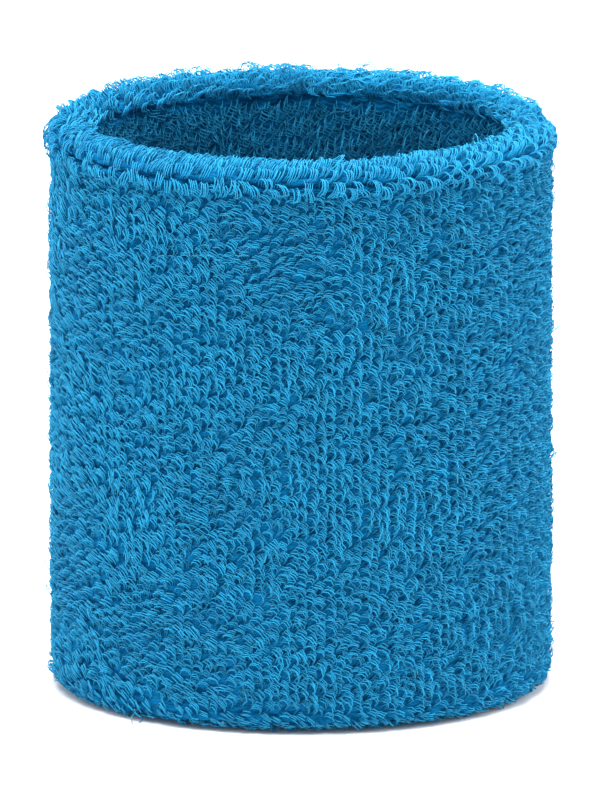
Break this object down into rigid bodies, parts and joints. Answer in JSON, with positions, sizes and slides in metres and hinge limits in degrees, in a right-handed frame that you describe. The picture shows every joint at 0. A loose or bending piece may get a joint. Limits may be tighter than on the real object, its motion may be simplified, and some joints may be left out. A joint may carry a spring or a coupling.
{
  "type": "sweat wristband",
  "caption": "Towelling sweat wristband: a double-walled knitted tube of looped pile with rolled edges, standing open on one edge.",
  "frame": {"origin": "centre of the lower edge's resting plane", "axes": "+Z along the tube the wrist goes through, from the resting edge to the free edge; +X along the oval's long side; +Y along its short side"},
  "size_m": [0.0692, 0.052, 0.08],
  "materials": {
    "terry_pile": "looped cotton towelling, matte",
    "ground_knit": "plain knit of fine nylon, matte",
    "covered_elastic": "nylon-wrapped elastic yarn, satin",
    "sewing_thread": "spun polyester thread, satin"
  },
  "bodies": {
    "root": {"outer_terry_pile": "terry_pile", "top_edge_roll": "terry_pile", "bottom_edge_roll": "terry_pile", "inner_terry_pile_upper": "terry_pile", "inner_terry_pile_lower": "terry_pile", "ground_knit_tube": "ground_knit", "elastic_yarn": "covered_elastic", "closing_seam_thread": "sewing_thread"}
  },
  "joints": []
}
